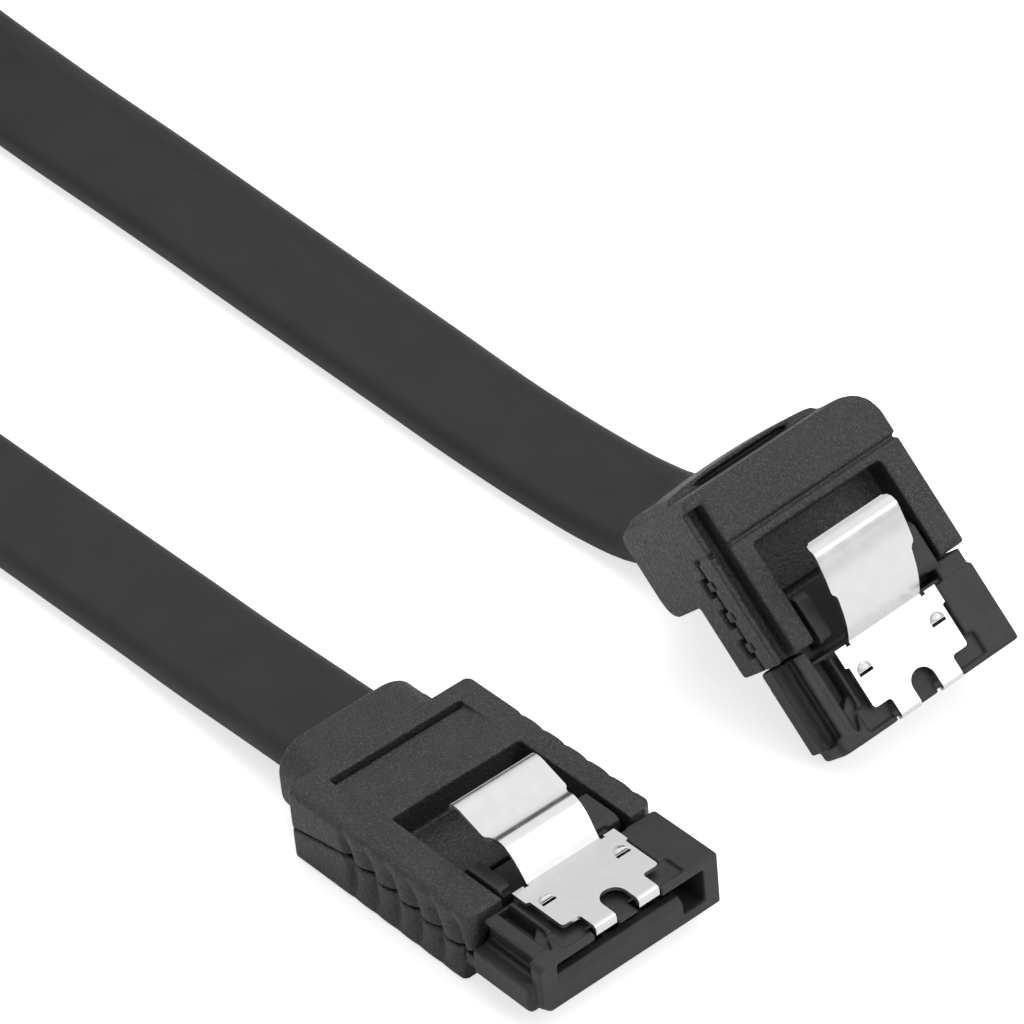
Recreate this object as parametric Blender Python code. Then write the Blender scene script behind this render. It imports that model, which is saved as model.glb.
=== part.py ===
"""Flat serial data cable: a straight and a right-angle latching plug on one flat lead.

Sizes are in millimetres, and a mesh turns them into metres as it is made. Each plug is drawn in a
frame of its own: X runs out through the nose, Y across it and Z up through the latch, and the front
face of the nose is X = 0. An empty then places each plug on the surface that the cable lies on.
"""

import math

import bmesh
import bpy
import numpy as np
from mathutils import Matrix, Vector

MM = 0.001
CLEARANCE = 0.3

# Nose, the end that slides over the drive's blade
NOSE_LEFT = -7.0
NOSE_RIGHT = 6.8
NOSE_TOP = 5.0
NOSE_BOTTOM = 1.3
NOSE_LENGTH = 5.3
FOOT_LENGTH = 6.1
FOOT_TOP = 2.25
NOSE_CHAMFER = 0.3
FLANGE_LENGTH = 0.75
FLANGE_INSET = 0.4
LEDGE_TOP = 3.2
LEDGE_WIDTH = 0.95
RAIL_WIDTH = 0.95
RAIL_DROP = 0.15
GROOVE_WIDTH = 0.85
GROOVE_DEPTH = 0.43
GROOVE_TAPER = 1.8
GROOVE_TIP = 0.45

# Slot for the blade, with the short leg that keys it
SLOT_LEFT = -5.3
SLOT_RIGHT = 5.6
SLOT_BOTTOM = 3.38
SLOT_HEIGHT = 1.05
KEY_WIDTH = 1.6
KEY_DROP = 1.28
KEY_LENGTH = 5.0
LEAD_IN = 0.4

# Contacts at the standard spacing
CONTACT_COUNT = 7
CONTACT_PITCH = 1.27
CONTACT_MIDDLE = -0.4
CONTACT_WIDTH = 0.45
CONTACT_THICKNESS = 0.2
CONTACT_RISE = 0.55
CONTACT_FRONT = 1.25
CONTACT_CREST = 2.65
CONTACT_BACK = 4.8
CHANNEL_WIDTH = 0.85
CHANNEL_DEPTH = 0.65

# Latch, one bent strip of spring steel
LATCH_GAUGE = 0.25
LATCH_GAP = 0.4
LATCH_ROOF = 0.29
LATCH_FRONT = 0.1
FINGER_DROP = 0.62
FINGER_INNER = 0.84
FINGER_OUTER = 2.35
FINGER_LENGTH = 1.4
NOTCH_DEPTH = 1.94
PLATE_HALF = 3.58
EAR_HALF = 3.81
EAR_FRONT = 4.18
EAR_BACK = 5.8
RAMP_HALF = 2.7
RAMP_FOOT = 5.47
EAR_SLIT = 0.3
TAB_HALF = 3.1
TAB_STEP = 8.3
TAB_BACK = 11.75
TAB_DROOP = 0.7
CREST_BACK = 10.7
STRAIGHT_CREST = 2.72
ANGLE_CREST = 3.2
SHOULDER_BACK = 7.4
SHOULDER_SHARE = 0.61
BARB_BACK = 3.57
BARB_SIDE = 2.78
BARB_RADIUS = 0.55
BARB_HEIGHT = 0.3
HINGE_BACK = 0.4

# Bed of the latch in the nose, and the blocks behind its ears
BED_MARGIN = 0.37
BED_FRONT_MARGIN = 0.92
BED_FRONT_LENGTH = 1.9
RIM = 0.35
POCKET_LENGTH = 0.95
TONGUE_HALF = 5.5
TONGUE_BOTTOM = 1.9
TONGUE_TOP = 3.3
TONGUE_LENGTH = 9.6
BLOCK_INNER = 3.15
BLOCK_LEFT = -4.1
BLOCK_RIGHT = 4.9
BLOCK_FRONT = 6.15
BLOCK_TOP = 5.2

# Hoods, moulded in two shells that meet at a parting line
HOOD_HALF = 7.0
HOOD_TOP = 5.3
WINDOW_LEFT = -4.4
WINDOW_RIGHT = 5.2
WINDOW_FLOOR = 3.3
CAVITY_FLOOR = 1.6
CAVITY_HALF = TONGUE_HALF + CLEARANCE
CAVITY_TOP = TONGUE_TOP + CLEARANCE
EDGE = 0.2

# Straight hood
ARM_FRONT = 5.6
LOWER_FRONT = 6.6
HOOD_BACK = 21.9
HOOD_CORNER = 0.3
STRAIGHT_WINDOW_BACK = 15.3
PARTING_REAR = 2.2
PARTING_MIDDLE = 3.15
PARTING_FRONT = 2.5
RIB_BACK = 17.05
RIB_PITCH = 1.95
RIB_COUNT = 6
RIB_DEPTH = 0.35
RIB_SLANT = 0.3
FLUTE_COUNT = 5
FLUTE_WIDTH = 0.9
FLUTE_DEPTH = 0.35
PANEL_BACK = 20.45
PANEL_LEFT = -4.75
PANEL_RIGHT = 5.1
PANEL_DEPTH = 0.2
COLLAR_LENGTH = 3.0
COLLAR_HALF = 4.9
COLLAR_BOTTOM = 0.25
COLLAR_TOP = 5.1
COLLAR_ROUND = 1.9
NECK_HALF = 4.4
SOCKET_HEIGHT = 2.5

# Right-angle hood
ANGLE_BACK = 17.7
ANGLE_FRONT = 6.55
ANGLE_BOTTOM = -1.0
ANGLE_SEAM = 14.05
ANGLE_SPLIT = 2.4
ANGLE_WINDOW_BACK = 13.3
ANGLE_FLOOR = 3.0
ANGLE_CORNER = 2.2
ANGLE_FILLET = 0.7
SPOUT_BACK = 18.0
SPOUT_FRONT = 11.5
SPOUT_BOTTOM = -5.8
SPOUT_ROUND = 1.3
REBATE_WIDTH = 1.15
REBATE_DEPTH = 0.85
REBATE_BACK = 16.9
CLIP_COUNT = 3
CLIP_PITCH = 2.1
CLIP_FIRST = 8.15
CLIP_WIDTH = 0.7
CLIP_DROP = 0.75
CLIP_DEPTH = 0.7

# Lead, and the sockets that its ends sit in
LEAD_WIDTH = 7.8
LEAD_THICKNESS = 2.3
LEAD_STEP = 6.0
SOCKET_DEPTH = 1.5
LOOP_RADIUS = 33.0
LOOP_CENTRE = (-192.0, 14.0)
LOOP_MOUTH = 78.0

# Where the right-angle plug lies, leaning on the lowest corner of its nose
ANGLE_PLACE = (-6.19, 26.77)
ANGLE_YAW = -4.5
ANGLE_LEAN = 7.4
ANGLE_TILT = 46.6

# Sizes that follow from those above
SLOT_TOP = SLOT_BOTTOM + SLOT_HEIGHT
BED_FLOOR = SLOT_TOP + LATCH_ROOF
PLATE_BOTTOM = BED_FLOOR + LATCH_GAP
PLATE_TOP = PLATE_BOTTOM + LATCH_GAUGE
HINGE = (-HINGE_BACK, 0.0, PLATE_BOTTOM + LATCH_GAUGE / 2)
COLLAR_BACK = HOOD_BACK + COLLAR_LENGTH
SPOUT_MIDDLE = (SPOUT_BACK + SPOUT_FRONT) / 2


def clear_scene():
    for thing in list(bpy.data.objects):
        bpy.data.objects.remove(thing, do_unlink=True)


def material(name, colour, roughness, metallic=0.0):
    made = bpy.data.materials.new(name)
    made.use_nodes = True
    shader = made.node_tree.nodes["Principled BSDF"]
    shader.inputs["Base Color"].default_value = (*colour, 1.0)
    shader.inputs["Roughness"].default_value = roughness
    shader.inputs["Metallic"].default_value = metallic
    return made


def empty(name, place=(0.0, 0.0, 0.0), turn=None, parent=None):
    made = bpy.data.objects.new(name, None)
    bpy.context.collection.objects.link(made)
    made.parent = parent
    made.location = Vector(place) * MM
    if turn is not None:
        made.rotation_euler = turn
    return made


def box(x, y, z):
    """A block between the two ends of each range."""
    points = [(a, b, c) for a in x for b in y for c in z]
    faces = [(0, 1, 3, 2), (4, 6, 7, 5), (0, 4, 5, 1), (2, 3, 7, 6), (0, 2, 6, 4), (1, 5, 7, 3)]
    return points, faces


def loft(sections):
    """A solid through closed sections of equally many points, closed at both ends."""
    count = len(sections[0])
    points = [point for section in sections for point in section]
    faces = []
    for row in range(len(sections) - 1):
        for i in range(count):
            j = (i + 1) % count
            a = row * count
            faces.append((a + i, a + j, a + count + j, a + count + i))
    faces.append(tuple(range(count))[::-1])
    last = (len(sections) - 1) * count
    faces.append(tuple(range(last, last + count)))
    return points, faces


def prism(outline, axis, ends):
    """A flat outline carried along an axis: (y, z) along X, (x, z) along Y or (x, y) along Z."""
    place = {
        "X": lambda along, a, b: (along, a, b),
        "Y": lambda along, a, b: (a, along, b),
        "Z": lambda along, a, b: (a, b, along),
    }[axis]
    return loft([[place(end, a, b) for a, b in outline] for end in ends])


def arc(centre, radius, start, stop, steps):
    """Points on an arc, with its angles in degrees."""
    angles = np.radians(np.linspace(start, stop, steps + 1))
    return [(centre[0] + radius * math.cos(a), centre[1] + radius * math.sin(a)) for a in angles]


def rounded(low, high, radius, steps=4):
    """A rectangle from its low corner to its high one, with round corners."""
    corners = [
        ((high[0] - radius, high[1] - radius), 0),
        ((low[0] + radius, high[1] - radius), 90),
        ((low[0] + radius, low[1] + radius), 180),
        ((high[0] - radius, low[1] + radius), 270),
    ]
    return [p for centre, turn in corners for p in arc(centre, radius, turn, turn + 90, steps)]


def mesh_of(name, shape):
    points, faces = shape
    mesh = bpy.data.meshes.new(name)
    mesh.from_pydata([Vector(p) * MM for p in points], [], faces)
    work = bmesh.new()
    work.from_mesh(mesh)
    bmesh.ops.recalc_face_normals(work, faces=work.faces)
    work.to_mesh(mesh)
    work.free()
    return mesh


def solid(name, shape, finish, parent, origin=(0.0, 0.0, 0.0)):
    """A sub-part, with its object's own origin at the point given in its parent's frame."""
    points, faces = shape
    moved = [tuple(np.subtract(p, origin)) for p in points]
    made = bpy.data.objects.new(name, mesh_of(name, (moved, faces)))
    made.data.materials.append(finish)
    bpy.context.collection.objects.link(made)
    made.parent = parent
    made.location = Vector(origin) * MM
    return made


def combine(target, shape, operation):
    """Joins a shape to a sub-part, cuts it away or keeps only what both have."""
    name = f"{target.name}_{operation.lower()}_{len(target.modifiers)}"
    tool = bpy.data.objects.new(name, mesh_of(name, shape))
    bpy.context.collection.objects.link(tool)
    tool.parent = target.parent
    tool.hide_render = True
    tool.display_type = "WIRE"
    modifier = target.modifiers.new(operation.title(), "BOOLEAN")
    modifier.operation = operation
    modifier.object = tool


def join(target, shape):
    combine(target, shape, "UNION")


def cut(target, shape):
    combine(target, shape, "DIFFERENCE")


def keep(target, shape):
    combine(target, shape, "INTERSECT")


def smooth_curve(route, spacing):
    """Evenly spaced points on a smooth curve through hand-placed ones."""
    route = np.array(route, float)
    steps = np.linalg.norm(np.diff(route[:, :3], axis=0), axis=1)
    knots = np.concatenate([[0.0], np.cumsum(steps)])
    slopes = np.gradient(route, knots, axis=0)
    where = np.linspace(0.0, knots[-1], round(knots[-1] / spacing) + 1)
    span = np.clip(np.searchsorted(knots, where, side="right") - 1, 0, len(steps) - 1)
    width = steps[span][:, None]
    t = (where - knots[span])[:, None] / width
    ends = (2 * t**3 - 3 * t**2 + 1) * route[span] + (3 * t**2 - 2 * t**3) * route[span + 1]
    bends = (t**3 - 2 * t**2 + t) * slopes[span] + (t**3 - t**2) * slopes[span + 1]
    return ends + bends * width


# Housing with the slot, the latch's bed and the channels for the contacts


def nose_section():
    rail_left = NOSE_LEFT + LEDGE_WIDTH
    rail_right = rail_left + RAIL_WIDTH
    rail_top = NOSE_TOP - RAIL_DROP
    return [
        (NOSE_LEFT + NOSE_CHAMFER, NOSE_BOTTOM),
        (NOSE_RIGHT, NOSE_BOTTOM),
        (NOSE_RIGHT, NOSE_TOP),
        (rail_right, NOSE_TOP),
        (rail_right, rail_top),
        (rail_left, rail_top),
        (rail_left, LEDGE_TOP),
        (NOSE_LEFT, LEDGE_TOP),
        (NOSE_LEFT, NOSE_BOTTOM + NOSE_CHAMFER),
    ]


def flange_section(shrink=0.0):
    left = NOSE_LEFT + FLANGE_INSET + shrink
    right = NOSE_RIGHT - shrink
    bottom = NOSE_BOTTOM + shrink
    rail_top = NOSE_TOP - RAIL_DROP
    return [
        (left + 2 * NOSE_CHAMFER, bottom),
        (right, bottom),
        (right, NOSE_TOP),
        (left + 2 * LEDGE_WIDTH, NOSE_TOP),
        (left + NOSE_CHAMFER, rail_top),
        (left, rail_top - NOSE_CHAMFER),
        (left, bottom + 2 * NOSE_CHAMFER),
    ]


def flange():
    stations = [(-FLANGE_LENGTH - CLEARANCE, 0.0), (-EDGE, 0.0), (0.0, EDGE / 2)]
    return loft([[(x, y, z) for y, z in flange_section(shrink)] for x, shrink in stations])


def groove():
    """The relief beside the rail, seen from above, which runs to a point at the front."""
    left = NOSE_LEFT + LEDGE_WIDTH + RAIL_WIDTH
    right = left + GROOVE_WIDTH
    return [
        (-NOSE_LENGTH - 1.0, left),
        (-GROOVE_TIP, left),
        (-GROOVE_TIP - GROOVE_TAPER, right),
        (-NOSE_LENGTH - 1.0, right),
    ]


def lead_in():
    outline = [
        (EDGE, SLOT_BOTTOM - LEAD_IN - EDGE),
        (EDGE, SLOT_BOTTOM + EDGE),
        (-LEAD_IN - EDGE, SLOT_BOTTOM + EDGE),
        (-LEAD_IN, SLOT_BOTTOM),
    ]
    return prism(outline, "Y", (SLOT_LEFT, SLOT_RIGHT - KEY_WIDTH))


def contact_places():
    first = CONTACT_MIDDLE - CONTACT_PITCH * (CONTACT_COUNT - 1) / 2
    return [first + CONTACT_PITCH * i for i in range(CONTACT_COUNT)]


def housing(name, finish, plug):
    made = solid(name, prism(nose_section(), "X", (-NOSE_LENGTH, -FLANGE_LENGTH)), finish, plug)
    join(made, flange())
    foot = (NOSE_BOTTOM + CLEARANCE, FOOT_TOP)
    join(made, box((-FOOT_LENGTH, -NOSE_LENGTH + 1), (NOSE_LEFT + EDGE, NOSE_RIGHT - EDGE), foot))
    tongue = (TONGUE_BOTTOM, TONGUE_TOP)
    join(made, box((-TONGUE_LENGTH, -NOSE_LENGTH + 0.5), (-TONGUE_HALF, TONGUE_HALF), tongue))
    for inner, outer in ((-BLOCK_INNER, BLOCK_LEFT), (BLOCK_INNER, BLOCK_RIGHT)):
        across = sorted((inner, outer))
        profile = [
            (-TONGUE_LENGTH + EDGE, TONGUE_TOP - 0.5),
            (-BLOCK_FRONT, TONGUE_TOP - 0.5),
            (-BLOCK_FRONT, BLOCK_TOP - EDGE),
            (-BLOCK_FRONT - 2 * EDGE, BLOCK_TOP),
            (-TONGUE_LENGTH + 3 * EDGE, BLOCK_TOP),
            (-TONGUE_LENGTH + EDGE, BLOCK_TOP - 2 * EDGE),
        ]
        join(made, prism(profile, "Y", across))
    slot = (SLOT_BOTTOM, SLOT_TOP)
    cut(made, box((-NOSE_LENGTH - EDGE, 1.0), (SLOT_LEFT, SLOT_RIGHT), slot))
    key = (SLOT_BOTTOM - KEY_DROP, SLOT_BOTTOM + EDGE)
    cut(made, box((-KEY_LENGTH, 1.0), (SLOT_RIGHT - KEY_WIDTH, SLOT_RIGHT), key))
    cut(made, lead_in())
    cut(made, prism(groove(), "Z", (NOSE_TOP - GROOVE_DEPTH, NOSE_TOP + 1.0)))
    bed = (BED_FLOOR, NOSE_TOP + 1.0)
    bed_half = PLATE_HALF + BED_MARGIN
    cut(made, box((-NOSE_LENGTH - 1.0, -RIM - EDGE), (-bed_half, bed_half), bed))
    front_half = PLATE_HALF + BED_FRONT_MARGIN
    cut(made, box((-BED_FRONT_LENGTH, -RIM), (-front_half, front_half), bed))
    for inner, outer in ((-FINGER_OUTER, -FINGER_INNER), (FINGER_INNER, FINGER_OUTER)):
        across = (inner - CLEARANCE / 2, outer + CLEARANCE / 2)
        cut(made, box((-POCKET_LENGTH, 1.0), across, (SLOT_TOP - EDGE, NOSE_TOP + 1.0)))
    cut(made, box((-RIM - EDGE, 1.0), (-FINGER_OUTER, FINGER_OUTER), (BED_FLOOR, NOSE_TOP + 1.0)))
    for place in contact_places():
        across = (place - CHANNEL_WIDTH / 2, place + CHANNEL_WIDTH / 2)
        channel = (SLOT_BOTTOM - CHANNEL_DEPTH, SLOT_TOP - EDGE)
        along = (-CONTACT_BACK - CLEARANCE, -CONTACT_FRONT + CLEARANCE)
        cut(made, box(along, across, channel))
    return made


# Latch


def strip(line, gauge):
    """The side view of a bent sheet: its outer line from front to back, and its inner one."""
    line = np.array(line)
    steps = np.diff(line, axis=0)
    steps /= np.linalg.norm(steps, axis=1)[:, None]
    along = np.vstack([steps[:1], steps[:-1] + steps[1:], steps[-1:]])
    along /= np.linalg.norm(along, axis=1)[:, None]
    inner = line + gauge * np.stack([-along[:, 1], along[:, 0]], axis=1)
    return [tuple(p) for p in line] + [tuple(p) for p in inner[::-1]]


def latch_profile(crest):
    """Side view of the strip, for a tab whose crest stands this far above the plate."""
    shoulder = SHOULDER_SHARE * crest
    bend = LATCH_GAUGE * 1.2
    front = arc((-LATCH_FRONT - bend, PLATE_TOP - bend), bend, 0, 90, 4)
    tip = (-LATCH_FRONT, PLATE_TOP - FINGER_DROP)
    ramp = smooth_curve(
        [
            (-RAMP_FOOT, PLATE_TOP),
            (-RAMP_FOOT - 0.45, PLATE_TOP + 0.35 * shoulder),
            (-RAMP_FOOT - 0.95, PLATE_TOP + 0.75 * shoulder),
            (-SHOULDER_BACK, PLATE_TOP + shoulder),
            (-TAB_STEP, PLATE_TOP + 0.72 * crest),
            (-CREST_BACK + 0.9, PLATE_TOP + 0.95 * crest),
            (-CREST_BACK, PLATE_TOP + crest),
            (-TAB_BACK + 0.45, PLATE_TOP + crest - 0.35 * TAB_DROOP),
            (-TAB_BACK, PLATE_TOP + crest - TAB_DROOP),
        ],
        0.35,
    )
    return strip([tip, *front, *ramp], LATCH_GAUGE)


def latch_plan():
    """Half of the outline seen from above, turned into the whole by its mirror image."""
    notch_middle = -NOTCH_DEPTH + FINGER_INNER
    notch = arc((notch_middle, 0.0), FINGER_INNER, 180, 90, 6)
    half = [
        *notch,
        (0.5, FINGER_INNER),
        (0.5, FINGER_OUTER),
        (-FINGER_LENGTH + EDGE, FINGER_OUTER),
        (-FINGER_LENGTH, FINGER_OUTER + EDGE),
        (-FINGER_LENGTH, PLATE_HALF - EDGE),
        (-FINGER_LENGTH - EDGE, PLATE_HALF),
        (-EAR_FRONT, PLATE_HALF),
        (-EAR_FRONT - 0.1, EAR_HALF),
        (-EAR_BACK, EAR_HALF),
        (-EAR_BACK, RAMP_HALF + EAR_SLIT),
        (-RAMP_FOOT + EDGE, RAMP_HALF + EAR_SLIT),
        (-RAMP_FOOT + EDGE, RAMP_HALF),
        (-TAB_STEP + EDGE, RAMP_HALF + EDGE / 2),
        (-TAB_STEP, TAB_HALF - EDGE),
        (-TAB_STEP - EDGE, TAB_HALF),
        (-TAB_BACK + EDGE, TAB_HALF),
        (-TAB_BACK - EDGE, TAB_HALF - 2 * EDGE),
    ]
    mirrored = [(x, -y) for x, y in half[:0:-1]]
    return half + mirrored


def barb(side):
    """A half-moon of the plate, pushed up so that its straight edge faces the nose."""
    foot = arc((-BARB_BACK, side), BARB_RADIUS, 90, 270, 6)
    crown = arc((-BARB_BACK - EDGE, side), BARB_RADIUS * 0.5, 90, 270, 6)
    low = [(x, y, PLATE_TOP - LATCH_GAUGE / 2) for x, y in foot]
    high = [(x, y, PLATE_TOP + BARB_HEIGHT) for x, y in crown]
    return loft([low, high])


def latch(name, crest, finish, plug):
    wide = TAB_HALF + EAR_HALF
    made = solid(name, prism(latch_profile(crest), "Y", (-wide, wide)), finish, plug, HINGE)
    keep(made, prism(latch_plan(), "Z", (PLATE_BOTTOM - 2, PLATE_TOP + crest + 2)))
    join(made, barb(-BARB_SIDE))
    join(made, barb(BARB_SIDE))
    return made


# Contacts


def contact_profile():
    """A strip that rises to the crest where it touches the blade, and dips to its front end."""
    foot = SLOT_BOTTOM - CHANNEL_DEPTH + EDGE
    lower = [
        (-CONTACT_BACK, foot),
        (-CONTACT_BACK + 0.6, foot),
        (-CONTACT_CREST - 0.25, foot + CONTACT_RISE),
        (-CONTACT_CREST + 0.25, foot + CONTACT_RISE),
        (-CONTACT_FRONT, foot + 0.1),
    ]
    upper = [(x, z + CONTACT_THICKNESS) for x, z in lower]
    return lower + upper[::-1]


def contacts(prefix, finish, plug):
    for number, place in enumerate(contact_places(), 1):
        across = (place - CONTACT_WIDTH / 2, place + CONTACT_WIDTH / 2)
        solid(f"{prefix}_contact_{number}", prism(contact_profile(), "Y", across), finish, plug)


# Straight hood


def parting(x):
    """Height of the line where the two shells meet, which dips under each rib."""
    base = np.interp(
        x,
        (-HOOD_BACK, -RIB_BACK, -LOWER_FRONT),
        (PARTING_REAR, PARTING_MIDDLE, PARTING_FRONT),
    )
    return base - 0.25 * RIB_DEPTH * rib_wave(x, 0.0)


def rib_wave(x, drop):
    """1 on the crest of a grip rib, 0 in the valley between two and 0 away from the ribs."""
    phase = (x + RIB_BACK - RIB_SLANT * drop) / RIB_PITCH
    if 0 <= phase <= RIB_COUNT:
        return abs(math.sin(math.pi * phase))
    return 0.0


def upper_half_width(x, z):
    half = HOOD_HALF
    phase = (x + RIB_BACK - RIB_SLANT * (HOOD_TOP - z)) / RIB_PITCH
    if 0 <= phase <= RIB_COUNT:
        half -= RIB_DEPTH * (1 - abs(math.sin(math.pi * phase)))
    elif -0.3 < phase < 0:
        half -= RIB_DEPTH * (1 + phase / 0.3)
    rear = max(0.0, HOOD_CORNER - (x + HOOD_BACK))
    front = max(0.0, 0.7 - (-ARM_FRONT - x))
    return half - 0.8 * rear - 1.1 * front**1.5


def upper_section(x):
    low = parting(x) + CLEARANCE / 2
    middle = (low + HOOD_TOP) / 2
    heights = (low, middle, HOOD_TOP - EDGE, HOOD_TOP)
    insets = (0.0, 0.0, 0.0, EDGE)
    right = [(x, upper_half_width(x, z) - inset, z) for z, inset in zip(heights, insets)]
    left = [(x, -y, z) for x, y, z in right[::-1]]
    return right + left


def rib_stations(front):
    ribs = [-RIB_BACK + RIB_PITCH * i / 8 for i in range(RIB_COUNT * 8 + 1)]
    ends = [-HOOD_BACK, -HOOD_BACK + HOOD_CORNER, -RIB_BACK - 0.3 * RIB_PITCH]
    near = [-front - 0.7, -front - 0.35, -front]
    kept = [x for x in ribs if x < -front - 0.75]
    return ends + kept + near


def collar():
    """The block that grips the lead, softened at its back edge."""
    stations = [
        (-HOOD_BACK - CLEARANCE, 0.0),
        (-COLLAR_BACK + 2 * EDGE, 0.0),
        (-COLLAR_BACK, 2 * EDGE),
    ]
    sections = []
    for x, shrink in stations:
        low = (-COLLAR_HALF + shrink, COLLAR_BOTTOM + shrink)
        high = (COLLAR_HALF - shrink, COLLAR_TOP - shrink)
        sections.append([(x, y, z) for y, z in rounded(low, high, COLLAR_ROUND, 5)])
    return loft(sections)


def lead_section(margin):
    """The lead's flat section with round edges, as (across, through) points."""
    half = LEAD_THICKNESS / 2 + margin
    straight = (LEAD_WIDTH - LEAD_THICKNESS) / 2
    right = arc((straight, 0.0), half, -90, 90, 6)
    left = arc((-straight, 0.0), half, 90, 270, 6)
    return right + left


def straight_hood(finish, plug):
    upper = solid(
        "straight_hood_upper",
        loft([upper_section(x) for x in rib_stations(ARM_FRONT)]),
        finish,
        plug,
    )
    join(upper, collar())
    neck = (PARTING_REAR + 2 * CLEARANCE, COLLAR_TOP - EDGE)
    join(upper, box((-HOOD_BACK - 1.0, -HOOD_BACK + 1.0), (-NECK_HALF, NECK_HALF), neck))
    window = (WINDOW_LEFT, WINDOW_RIGHT)
    cut(upper, box((-STRAIGHT_WINDOW_BACK, 0.0), window, (WINDOW_FLOOR, HOOD_TOP + 1)))
    inside = (-TONGUE_LENGTH - CLEARANCE, 0.0)
    cavity = (-CAVITY_HALF, CAVITY_HALF)
    cut(upper, box(inside, cavity, (CAVITY_FLOOR, CAVITY_TOP)))
    along = (-PANEL_BACK, -STRAIGHT_WINDOW_BACK + EDGE)
    cut(upper, box(along, (PANEL_LEFT, PANEL_RIGHT), (HOOD_TOP - PANEL_DEPTH, HOOD_TOP + 1)))
    socket = [(y, SOCKET_HEIGHT + z) for y, z in lead_section(CLEARANCE)]
    cut(upper, prism(socket, "X", (-COLLAR_BACK - 1.0, -COLLAR_BACK + SOCKET_DEPTH)))
    lower = solid(
        "straight_hood_lower",
        loft([lower_section(x, half) for x, half in flute_stations()]),
        finish,
        plug,
    )
    cut(lower, box(inside, cavity, (CAVITY_FLOOR, HOOD_TOP)))


def flute_stations():
    """The lower shell's stations with its half width at each, narrower inside a flute."""
    wide = HOOD_HALF
    narrow = HOOD_HALF - FLUTE_DEPTH
    made = [(-HOOD_BACK, wide - 0.8 * HOOD_CORNER), (-HOOD_BACK + HOOD_CORNER, wide)]
    for i in range(FLUTE_COUNT):
        start = -RIB_BACK + RIB_PITCH * i
        made.append((start, wide))
        made.append((start + EDGE / 2, narrow))
        made.append((start + FLUTE_WIDTH, narrow))
        made.append((start + FLUTE_WIDTH + EDGE / 2, wide))
    made.append((-LOWER_FRONT, wide))
    return made


def lower_section(x, half):
    top = parting(x) - CLEARANCE / 2
    right = [(x, half - EDGE, 0.0), (x, half, EDGE), (x, half, top)]
    left = [(x, -y, z) for x, y, z in right[::-1]]
    return right + left


# Right-angle hood


def angle_side_view():
    """The hood's body seen from its side, with the spout for the lead pointing down."""
    fillet = ANGLE_FILLET
    turn = SPOUT_ROUND
    return [
        (-ANGLE_SEAM - CLEARANCE / 2, HOOD_TOP),
        *arc((-ANGLE_BACK + fillet, HOOD_TOP - fillet), fillet, 90, 180, 4),
        (-ANGLE_BACK, ANGLE_BOTTOM),
        (-SPOUT_BACK, ANGLE_BOTTOM - 0.5),
        *arc((-SPOUT_BACK + turn, SPOUT_BOTTOM + turn), turn, 180, 270, 5),
        *arc((-SPOUT_FRONT - turn, SPOUT_BOTTOM + turn), turn, 270, 360, 5),
        (-SPOUT_FRONT, ANGLE_BOTTOM),
        (-ANGLE_FRONT - EDGE, ANGLE_BOTTOM),
        (-ANGLE_FRONT, ANGLE_BOTTOM + EDGE),
        (-ANGLE_FRONT, ANGLE_SPLIT - CLEARANCE / 2),
        (-ANGLE_SEAM - CLEARANCE / 2, ANGLE_SPLIT - CLEARANCE / 2),
    ]


def angle_plan():
    """The hood's body seen from above, with one wide round corner behind."""
    back = -SPOUT_BACK - 0.5
    return [
        (-ANGLE_FRONT + 1, HOOD_HALF),
        *arc((-ANGLE_BACK + ANGLE_CORNER, HOOD_HALF - ANGLE_CORNER), ANGLE_CORNER, 90, 180, 6),
        (back, HOOD_HALF - ANGLE_CORNER),
        (back, -HOOD_HALF + ANGLE_FILLET),
        *arc((-ANGLE_BACK + ANGLE_FILLET, -HOOD_HALF + ANGLE_FILLET), ANGLE_FILLET, 180, 270, 4),
        (-ANGLE_FRONT + 1, -HOOD_HALF),
    ]


def clip_places():
    return [-CLIP_FIRST - CLIP_PITCH * i for i in range(CLIP_COUNT)]


def rebate():
    """The sunken strip beside the window, deepest along the raised frame."""
    inner = -HOOD_HALF + REBATE_WIDTH
    return [
        (-HOOD_HALF - 1, HOOD_TOP - REBATE_DEPTH / 2),
        (inner, HOOD_TOP - REBATE_DEPTH),
        (inner, HOOD_TOP + 1),
        (-HOOD_HALF - 1, HOOD_TOP + 1),
    ]


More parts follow.
